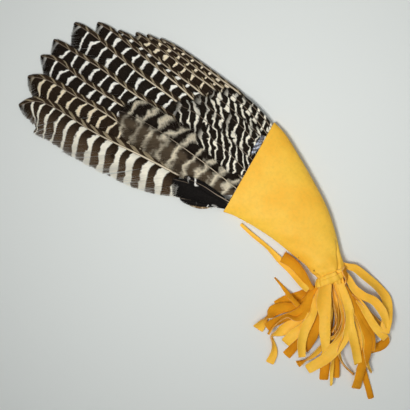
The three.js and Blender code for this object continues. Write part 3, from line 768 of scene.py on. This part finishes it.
# ---- Sleeve ----
# One smoke-tanned buckskin, grain side out, folded round the quills and laced shut along its
# trailing edge. It narrows to a neck, where it gathers in pleats under the binding.
GOLD = srgb(255, 203, 68)
OCHRE = srgb(232, 155, 14)
CUT_EDGE = srgb(244, 205, 140)
LEATHER = 1.5 * MM
SLEEVE_LEADING = Route([
    (274, 122), (285, 134), (297, 153), (308, 172), (318, 190), (327, 208),
    (333, 225), (338, 243), (341, 260), (342, 272), (343, 283),
])
SLEEVE_TRAILING = Route([
    (223, 212), (232, 215), (244, 221), (256, 228), (270, 237), (283, 247),
    (294, 256), (304, 264), (312, 271), (316, 277), (317, 283),
])
SLEEVE_RISE = 11.2 * MM  # about half its height
SLEEVE_FLAT = 1.4 * MM  # pressed out of its round against the ground
SQUARED, LACED = 0.8, 1.25  # powers of its section: how square, and how sharp at the laced edge
NECK_LIFT = 2.9 * MM
NECK_FROM = 0.78  # shares of the sleeve's length, as are the next ones
PUFF_AT, PUFF_RUN = 0.9, 0.045  # where the hide bulges over the binding
FOLD_FROM, FOLD_RUN = 0.7, 0.14
CINCH_RUN = 0.04
PUFF, CINCH, FOLD, PLEAT, SLACK = (deep * MM for deep in (2.5, 1.3, 2.4, 0.6, 0.45))
PLEATS = 13  # round the neck
FOLD_WIDTH = 0.12  # of a radian


def leather(name, colour, other, blotch, nap, roughness, pore_depth):
    """Tanned hide: soft blotches of dye, a fine grain and a few stretch wrinkles."""
    sheen = {"Sheen Weight": nap, "Sheen Roughness": 0.6, "Sheen Tint": colour}
    made, shader = material(name, **{"Specular IOR Level": 0.32, "Roughness": roughness}, **sheen)
    place = shader.node("ShaderNodeTexCoord").out("Object")
    dye, mottle = place.noise(blotch, 4.0), place.noise(260.0, 4.0)
    pores = shader.node("ShaderNodeTexVoronoi", {"Vector": place, "Scale": 1500.0})
    wrinkle = place.noise(140.0, 3.0, Distortion=1.5)
    dyed = dye.step(0.3, 0.72).tint(colour, other)
    dyed = (mottle.step(0.35, 0.75) * 0.35).tint(dyed, toned(colour, 0.78))
    relief = pores * 0.35 + wrinkle + mottle * 0.5
    rough = dye.step(0.2, 0.8, roughness - 0.07, roughness + 0.08)
    paint(shader, colour=dyed, roughness=rough, bump=relief, depth=pore_depth, strength=0.6)
    return made


grain_skin = leather("Buckskin_grain", GOLD, srgb(254, 188, 52), 24.0, 0.06, 0.6, 0.25 * MM)
suede_skin = leather("Buckskin_flesh_side", OCHRE, srgb(204, 130, 10), 45.0, 0.1, 0.92, 0.4 * MM)
edge_skin = leather("Buckskin_cut_edge", CUT_EDGE, srgb(214, 150, 70), 160.0, 0.2, 0.9, 0.2 * MM)


def skin_hide(mesh):
    for skin in (grain_skin, suede_skin, edge_skin):
        mesh.materials.append(skin)


def sleeve_section(share, turns, out=0.0):
    """Points round the sleeve at a share of its length. Turn 0 is the leading fold."""
    a = SLEEVE_TRAILING.point(np.float64(share * SLEEVE_TRAILING.length))
    b = SLEEVE_LEADING.point(np.float64(share * SLEEVE_LEADING.length))
    half, middle = np.linalg.norm(b - a) / 2, (a + b) / 2
    across = (b - a) / (2 * half)
    rise = SLEEVE_RISE * (1 + 0.16 * np.sin(np.pi * min(1, share / NECK_FROM)))
    gathered = ease((share - NECK_FROM) / (1 - NECK_FROM))
    floor = NECK_LIFT * gathered
    centre = rise + floor - SLEEVE_FLAT
    cosine, sine = np.cos(turns), np.sin(turns)
    u = np.sign(cosine) * np.abs(cosine) ** SQUARED
    squareness = np.where(cosine < 0, mix(LACED, SQUARED, gathered), SQUARED)
    v = np.sign(sine) * np.abs(sine) ** squareness
    pleat = PLEAT * gathered * np.cos(PLEATS * turns + 9 * share) + out
    puff = PUFF * math.exp(-(((share - PUFF_AT) / PUFF_RUN) ** 2))
    puff = puff - CINCH * ease((share - PUFF_AT) / CINCH_RUN)
    ridge = mix(0.5, 0.95, (share - NECK_FROM) / (PUFF_AT - NECK_FROM))
    fold = FOLD * ease((share - FOLD_FROM) / FOLD_RUN) * np.exp(-(((turns - ridge) / FOLD_WIDTH) ** 2))
    pleat = pleat + (puff - fold) * (share > 0.6)
    slack = SLACK * np.sin(5 * turns + 30 * share) * (1 - gathered) * np.abs(sine)
    flat = middle + np.outer(u * (half + pleat), across)
    z = np.maximum(floor - 0.3 * out, centre + v * (rise + pleat) + slack * (v > 0))
    return np.column_stack([flat, z])


def sleeve_point(share, turn, out=0.0):
    return sleeve_section(share, np.array([turn]), out)[0]


def soften(made):
    """Rounds a piece's corners by one level of subdivision."""
    rounding = made.modifiers.new("Soft", "SUBSURF")
    rounding.levels = rounding.render_levels = 1


LIPS = 0.05  # radians, on each side of the laced edge
many, around = 84, 96  # rings along the sleeve, and points round it
sleeve_turns = np.linspace(-np.pi + LIPS, np.pi - LIPS, around)
sleeve_shares = 1 - np.linspace(0, 1, many) ** 1.25
rings = [sleeve_section(share, sleeve_turns) for share in sleeve_shares]
sleeve_mesh = bpy.data.meshes.new("Buckskin_sleeve")
corners = [r * around + i for r in range(many - 1) for i in range(around - 1)]
faces = [(k, k + around, k + around + 1, k + 1) for k in corners]
sleeve_mesh.from_pydata(np.vstack(rings).tolist(), [], faces)
skin_hide(sleeve_mesh)
sleeve_mesh.polygons.foreach_set("use_smooth", [True] * len(sleeve_mesh.polygons))
sleeve = show("Buckskin_sleeve", sleeve_mesh)
wall = sleeve.modifiers.new("Hide", "SOLIDIFY")
wall.thickness, wall.offset = LEATHER, -1
wall.material_offset, wall.material_offset_rim = 1, 2
soften(sleeve)
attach(sleeve, "root")
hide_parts("buckskin_sleeve")

# ---- Lace holes ----
# Small holes punched along the laced edge, each shown as a plug painted dark brown as painted shade for the
# hole's depth, with a lip pushed up round it.
HOLES = [(246, 224), (298, 257), (304.5, 263.5), (313, 270)]
HOLE = 1.25 * MM
# Painted shade: this dark brown plug stands in for the shade inside each hole.
hole_painted_shade, hole_shader = material("Lace_hole_painted_shade", Roughness=0.9)
hole_place = hole_shader.node("ShaderNodeTexCoord").out("Object")
paint(hole_shader, colour=hole_place.noise(900.0).tint(srgb(44, 24, 8), srgb(92, 56, 20)))
shares, turns = np.linspace(0.02, 0.98, 120), np.linspace(1.6, 3.05, 60)
search = [(share, turn) for share in shares for turn in turns]
surface = np.array([sleeve_point(share, turn) for share, turn in search])
plugs = []
for k, spot in enumerate(at(HOLES)):
    nearest = np.argmin(np.linalg.norm(surface[:, :2] - spot, axis=1))
    share, turn = search[nearest]
    here = surface[nearest]
    up = sleeve_point(share, turn, 2 * MM) - here
    up /= np.linalg.norm(up)
    one = np.cross(up, (1, 0, 0))
    one /= np.linalg.norm(one)
    two = np.cross(up, one)
    disc = [np.cos(a) * one + 0.75 * np.sin(a) * two for a in circle(14)]
    for skin, profile in [
        # First the plug of painted shade, then the grain lip round it.
        (hole_painted_shade, [(1.0, -0.5), (1.0, 0.12), (0.5, 0.16)]),
        (grain_skin, [(1.7, -0.4), (1.6, 0.0), (1.3, 0.34), (1.0, 0.3), (0.95, -0.4)]),
    ]:
        rings = [[here + r * HOLE * d + h * MM * up for d in disc] for r, h in profile]
        lip = outward(loft(f"hole_{k}", rings))
        lip.materials.append(skin)
        plugs.append(lip)
holes = joined("Lace_holes", plugs)
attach(holes, "root")

# ---- Binding ----
# A flat thong wound a little over twice round the neck, pulled tight, with its end tucked in.
BINDING_WIDE = 7.2 * MM
BINDING_THICK = 2.4 * MM
BINDING_FROM, BINDING_TO = 0.94, 0.99
BINDING_TURNS = 2.3
BINDING_TILT = 0.03  # higher on the leading side
BAND_SIDES = 10
BAND_LOWEST = 0.2 * MM


def band_section(width, thick):
    """Points round a flat strip's section, a rectangle with soft corners."""
    turn = circle(BAND_SIDES) + np.pi / BAND_SIDES
    soft = np.sign(np.cos(turn)) * np.abs(np.cos(turn)) ** 0.45
    return soft * width / 2, np.sign(np.sin(turn)) * np.abs(np.sin(turn)) ** 0.6 * thick / 2


def clad(mesh, flip=False):
    """Gives a strip its grain, flesh and cut-edge skins, by which way each face looks."""
    skin_hide(mesh)
    half = BAND_SIDES // 2
    for index, face in enumerate(mesh.polygons):
        face.use_smooth = True
        lap, quad = index % BAND_SIDES, len(face.vertices) == 4
        above = quad and lap < half - 1
        below = quad and half <= lap < BAND_SIDES - 1
        face.material_index = 2 if not (above or below) else int(above == flip)
    return mesh


def wound(name, shares, turns, lifts, width, thick, flip=False):
    """A thong lying round the sleeve along a run of its shares and turns, some way off it."""
    rows = list(zip(shares, turns, lifts))
    line = np.array([sleeve_point(share, turn, lift) for share, turn, lift in rows])
    off = np.array([sleeve_point(share, turn, lift + 2 * MM) for share, turn, lift in rows])
    ways = np.gradient(line, axis=0)
    rings = []
    for here, way, up in zip(line, ways, off - line):
        way = way / np.linalg.norm(way)
        up = up - way * (up @ way)
        up /= np.linalg.norm(up)
        u, v = band_section(width, thick)
        ring = here + np.outer(u, np.cross(up, way)) + np.outer(v, up)
        ring[:, 2] = np.maximum(ring[:, 2], BAND_LOWEST)
        rings.append(ring)
    return clad(outward(loft(name, rings)), flip)


wind = np.linspace(0, 1, 240)
turns = -2.2 + wind * BINDING_TURNS * 2 * np.pi
shares = mix(BINDING_FROM, BINDING_TO, wind) - BINDING_TILT * np.cos(turns) + 0.004 * np.sin(17 * wind)
lifts = (1.6 + ease(wind * BINDING_TURNS - 0.85) + 0.3 * np.sin(11 * wind)) * MM
winding = wound("Binding_thong", shares, turns, lifts, BINDING_WIDE, BINDING_THICK)
tie = np.linspace(0, 1, 30)
knot = wound(
    "Binding_knot", mix(0.915, 1.0, tie), mix(0.75, 0.1, tie), (2.4 + 2.6 * np.sin(np.pi * tie)) * MM,
    9 * MM, BINDING_THICK, flip=True,
)
binding = joined("Binding_thong", [winding, knot])
soften(binding)
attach(binding, "root")
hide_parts("binding_thong")

# ---- Fringe ----
# Strips cut from the hide, 6 to 13 mm wide, which spill out of the neck and lie over each other.
# Each is laid on a map of the heap's height. Near the neck and over SETTLED they still cross.
FRINGE_THICK = 1.6 * MM
FULLER = 1.12  # how much wider than the layout a strip lies, once it is free of the neck
LIFT_RUN = 48 * MM
CELL = 1.5 * MM
MAP_HALF = 320 * MM
heap = np.zeros((math.ceil(2 * MAP_HALF / CELL),) * 2)
cells = (np.arange(len(heap)) + 0.5) * CELL - MAP_HALF
STRIP_STEPS = 56  # along a strip
NECK_HIDDEN = 9  # squares of a strip that are inside the neck
NECK_MIDDLE, PINCH = 330, 0.25  # the neck's place across the sheet, and how far strips draw in
EVENING, SETTLING = 6, 90  # passes that smooth a strip's width and roll, and its height
SETTLED, SINK = 14 * MM, 0.55  # the heap loses this share of what stands over this height
PRESSED, SPREAD_RUN = 20 * MM, 30 * MM  # from a strip's start: where the neck squeezes the heap
ROLL_WAVE = math.radians(20)
CUPPED = 0.2  # how far a strip's edges stand up, in widths


def evened(line, weight=1):
    """A row of values with each one inside its ends drawn to its neighbours."""
    inner = (line[:-2] + weight * line[1:-1] + line[2:]) / (2 + weight)
    return np.concatenate([line[:1], inner, line[-1:]])


def under(spot, reach):
    """The part of the heap's map within reach of a point, as a window and a mask on it."""
    low, high = (((spot + k * (reach + CELL) + MAP_HALF) / CELL).astype(int) for k in (-1, 1))
    window = (slice(low[0], high[0] + 1), slice(low[1], high[1] + 1))
    away = np.hypot(cells[window[0]][:, None] - spot[0], cells[window[1]][None] - spot[1])
    return window, away <= reach


def strip(name, lift, rolled, way, slot, node):
    """Lays one strip of hide: way is its middle line, with its width, and with its roll in
    degrees where that isn't the strip's own."""
    way = [(*spot[:3], *(spot[3:] or [rolled])) for spot in way]
    if slot == "fringe":
        right, down, *rest = way[0]
        way = [(mix(right, NECK_MIDDLE, PINCH), down - NECK_HIDDEN, *rest), *way]
    route = Route(way)
    marks = route.run[::ROUTE_STEPS]
    along = np.linspace(0, route.length, STRIP_STEPS + 1)
    width = np.interp(along, marks, [w[2] for w in way]) * SQUARE
    roll = np.radians(np.interp(along, marks, [w[3] for w in way]))
    width *= mix(1, FULLER, ease(along / LIFT_RUN))
    for _ in range(EVENING):
        width, roll = evened(width, 2), evened(roll, 2)
    phase, tempo = luck.random(2) * 6
    roll = roll + ROLL_WAVE * np.sin(along / (9 * MM + tempo * MM) + phase)
    flat, side = route.point(along), route.side(along)
    pressed = PRESSED if slot == "fringe" else -SPREAD_RUN
    half = (width * abs(np.cos(roll)) + FRINGE_THICK * abs(np.sin(roll))) / 2
    tall = (width * abs(np.sin(roll)) + FRINGE_THICK * abs(np.cos(roll))) / 2
    need = np.empty(len(along))
    for k, spot in enumerate(flat):
        window, near = under(spot, half[k] + CELL)
        held = lift * MM * (1 - ease(along[k] / (LIFT_RUN + 2 * MM * lift)))
        heaped = (heap[window] * near).max() * ease((along[k] - pressed) / SPREAD_RUN)
        need[k] = max(heaped, held) + tall[k]
    z = need
    for _ in range(SETTLING):
        z = np.maximum(evened(z), need)
    z = z - SINK * np.maximum(z - SETTLED, 0) + CLEARANCE / 2
    rings = []
    for k in range(len(along)):
        u, v = band_section(width[k], FRINGE_THICK)
        cup = CUPPED * width[k] * (u * 2 / width[k]) ** 2
        across = u * math.cos(roll[k]) - (v + cup) * math.sin(roll[k])
        up = u * math.sin(roll[k]) + (v + cup) * math.cos(roll[k])
        ring = flat[k] + np.outer(across, side[k])
        rings.append(np.column_stack([ring, np.maximum(z[k] + up, TOUCH)]))
        if along[k] > pressed:
            window, near = under(flat[k], half[k] + CELL)
            heap[window] = np.maximum(heap[window], near * (z[k] + tall[k] + CLEARANCE))
    made = show(name, clad(outward(loft(name, rings))))
    soften(made)
    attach(made, "root")
    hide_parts(node)
    return made, np.column_stack([flat, z])


FRINGE = [  # lift over the ground at the neck, roll, and the way: right, down, width, other roll
    (1, 180, [(321, 288, 8), (310, 291, 9), (298, 297, 10), (286, 301, 9), (276, 306, 8)]),
    (1, 180, [(323, 288, 7), (312, 296, 8), (298, 306, 9), (284, 307, 10), (272, 311, 11, 170),
      (264, 319, 10, 30), (257, 329, 12, 0)]),
    (1, 180, [(322, 285, 6), (314, 305, 8), (305, 330, 8), (296, 345, 8, 170), (286, 356, 9)]),
    (1, 180, [(331, 285, 6), (332, 310, 7), (328, 340, 8), (326, 362, 9), (325, 381, 9)]),
    (2, 180, [(334, 285, 6), (338, 310, 7), (338, 340, 8), (336, 360, 8), (335, 378, 8)]),
    (2, 0, [(338, 285, 6), (346, 312, 7), (354, 340, 7), (361, 364, 7, 150), (367, 383, 6, 180),
      (372, 400, 6, 180)]),
    (2, 0, [(341, 285, 6), (352, 300, 7), (366, 312, 8), (378, 325, 9), (386, 337, 8, 90),
      (382, 347, 9, 180), (371, 350, 9, 180)]),
    (3, 0, [(320, 285, 6), (308, 312, 8), (294, 324, 11), (280, 331, 11, 10), (271, 336, 5, 60),
      (273, 344, 5, 40), (274, 353, 7), (270, 364, 8)]),
    (3, 0, [(322, 286, 6), (312, 312, 8), (303, 325, 9), (293, 334, 10), (285, 343, 9)]),
    (4, 180, [(319, 286, 6), (309, 300, 8), (298, 312, 8), (284, 318, 8), (272, 323, 8, 170),
      (266, 327, 8)]),
    (4, 0, [(333, 286, 5), (336, 315, 5, 40), (334, 340, 6, 60), (331, 362, 5, 50), (331, 386, 2)]),
    (5, 180, [(325, 285, 6), (321, 305, 7), (316, 322, 9), (311, 336, 10), (305, 352, 8)]),
    (5, 60, [(328, 286, 6, 0), (328, 315, 6, 20), (325, 338, 7, 55), (316, 350, 7), (306, 358, 7),
      (297, 364, 8, 120)]),
    (6, 0, [(342, 286, 6), (350, 305, 7), (357, 322, 7), (360, 338, 7), (360, 354, 7)]),
    (6, 0, [(343, 286, 5), (354, 308, 6), (362, 330, 6), (364, 352, 6, 60), (366, 364, 5, 60),
      (371, 373, 4, 60)]),
    (7, 75, [(331, 287, 5, 60), (334, 305, 5), (335, 320, 5), (330, 331, 5, 70)]),
    (7, 70, [(334, 286, 5, 50), (338, 303, 5), (339, 320, 5, 75), (334, 333, 5), (327, 338, 5, 60)]),
    (8, 20, [(336, 286, 6), (341, 303, 7), (342, 320, 7, 25), (338, 334, 8), (330, 347, 8, 10),
      (322, 356, 6, 0)]),
    (8, 0, [(340, 286, 6), (347, 305, 7), (349, 322, 8), (352, 340, 9), (355, 355, 9), (357, 364, 7)]),
    (9, 60, [(344, 286, 5, 20), (353, 296, 6), (362, 305, 7, 70), (369, 316, 7, 70), (373, 326, 6)]),
    (9, 0, [(344, 287, 5), (357, 300, 6), (367, 315, 7), (376, 328, 8), (385, 338, 7)]),
    (10, 180, [(343, 285, 6), (351, 299, 8), (358, 311, 8), (365, 324, 8), (370, 336, 7, 170),
      (370, 350, 6, 150)]),
    (11, 110, [(318, 286, 5, 180), (310, 293, 8, 160), (306, 303, 9, 150), (303, 313, 8, 130),
      (295, 317, 6), (287, 314, 6, 105), (279, 318, 6), (272, 325, 6), (267, 333, 5, 120)]),
    (11, 0, [(321, 286, 6), (315, 303, 8), (310, 316, 9), (303, 330, 9), (300, 343, 9), (301, 356, 7)]),
    (12, 60, [(339, 287, 5, 0), (343, 310, 5, 40), (342, 335, 5), (337, 350, 5), (341, 362, 5, 70),
      (354, 376, 5)]),
    (13, 180, [(343, 286, 6), (352, 303, 7), (360, 320, 8), (366, 338, 9), (364, 354, 9), (360, 370, 9),
      (357, 390, 9)]),
    (14, 0, [(341, 285, 7), (346, 300, 8), (348, 315, 9), (345, 331, 9), (338, 343, 10),
      (326, 356, 10, 10), (306, 368, 9)]),
    (16, 0, [(324, 284, 13), (322, 300, 16), (324, 315, 10), (324, 330, 11), (324, 343, 8),
      (322, 356, 2)]),
]
fringe = [
    strip(f"Fringe_strip_{i:02d}", *row, "fringe", f"fringe_{i:02d}")[0]
    for i, row in enumerate(FRINGE, 1)
]

# ---- Laces ----
# The long end of the thong that laces the sleeve shut, the two ends of the binding, a pointed
# offcut and the hide's turned-out corner.
LACES = [
    ("side_lace", "laces", 0, 0, [(241, 224, 3.5), (254, 236, 4), (268, 248, 4), (280, 260, 6),
      (292, 271, 7), (303, 286, 6), (307, 290, 5)]),
    ("suede_tab", "suede", 0, 180, [(283, 256, 13), (292, 262, 11), (300, 272, 9), (307, 283, 6),
      (311, 289, 5)]),
    ("pointed_lace", "suede", 0, 180, [(275, 278, 1.5), (282, 286, 3), (290, 296, 5), (298, 305, 5)]),
    ("outer_lace", "laces", 10, 0, [(341.5, 264.5, 6), (347, 266, 6), (354, 268, 8, 30),
      (366, 278, 9, 35), (378, 289, 10, 20), (386, 300, 10), (386, 316, 10), (383, 332, 9)]),
    ("inner_lace", "laces", 12, 0, [(343, 273, 6), (347, 278, 7), (353, 288, 8), (363, 295, 8),
      (373, 300, 8, 10), (381, 311, 8), (386, 327, 6)]),
]
for name, slot, lift, rolled, way in LACES:
    made, line = strip(name.capitalize(), lift, rolled, way, slot, name)
    if slot == "suede":
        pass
    else:
        width = np.mean([w[2] for w in way]) * SQUARE
